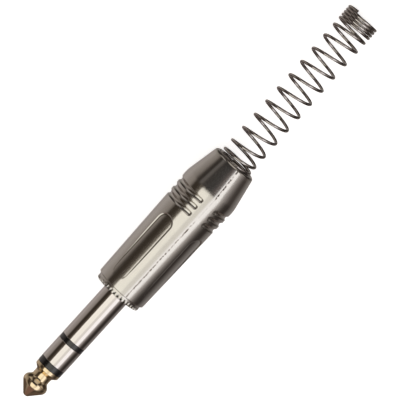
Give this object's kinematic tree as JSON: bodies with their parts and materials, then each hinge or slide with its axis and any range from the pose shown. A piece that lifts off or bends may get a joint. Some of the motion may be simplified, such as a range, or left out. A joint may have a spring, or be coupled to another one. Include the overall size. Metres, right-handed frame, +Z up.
{
  "type": "stereo jack plug",
  "caption": "Three-contact 6.35 mm audio plug with a gold tip, a knurled collar, a screw-on metal shell with grip grooves and a coil spring cable guard.",
  "frame": {"origin": "on the plug's axis at the shoulder, the front face of the knurled collar", "axes": "+X along the plug towards the cable, so the tip points towards -X; the plug lies on its side with +Z up; +Y to its left seen from the cable end"},
  "size_m": [0.1126, 0.0136, 0.0143],
  "materials": {
    "gold_plate": "polished gold plate on turned brass",
    "polished_nickel": "polished nickel plate on turned brass",
    "satin_nickel": "satin nickel plate on die-cast metal",
    "nickel_wire": "bright nickel-plated spring wire",
    "tinned_brass": "dull tin plate on pressed brass sheet",
    "black_insulator": "black moulded plastic",
    "fibre_washer": "red-brown pressed fibre",
    "clear_sleeving": "clear plastic sleeving"
  },
  "bodies": {
    "plug": {"tip_contact": "gold_plate", "tip_washer": "black_insulator", "tip_tube": "black_insulator", "ring_contact": "polished_nickel", "ring_washer": "black_insulator", "ring_tube": "black_insulator", "sleeve_contact": "polished_nickel", "collar": "satin_nickel", "cable_clamp": "tinned_brass", "lug_washer_front": "fibre_washer", "ring_lug": "tinned_brass", "lug_washer_rear": "fibre_washer", "tip_lug": "tinned_brass"},
    "tube": {"insulating_tube": "clear_sleeving"},
    "shell": {"shell": "satin_nickel"},
    "guard": {"spring_guard": "nickel_wire"}
  },
  "joints": [
    {"name": "shell_travel", "type": "slide", "parent": "plug", "child": "tube", "axis": [1, 0, 0], "range_m": [0, 0.00525]},
    {"name": "shell_turn", "type": "hinge", "parent": "tube", "child": "shell", "pos_m": [0.02, 0, 0], "axis": [1, 0, 0], "range_deg": [0, 2520]},
    {"name": "guard_flex", "type": "hinge", "parent": "shell", "child": "guard", "pos_m": [0.0389, 0, 0], "axis": [0, 0, 1], "range_deg": [-35, 35], "stiffness_Nm_per_rad": 0.006, "deforming": ["spring_guard"]}
  ],
  "couplings": [
    {"joint": "shell_travel", "follows": "shell_turn", "m_per_rad": 0.00011937}
  ]
}
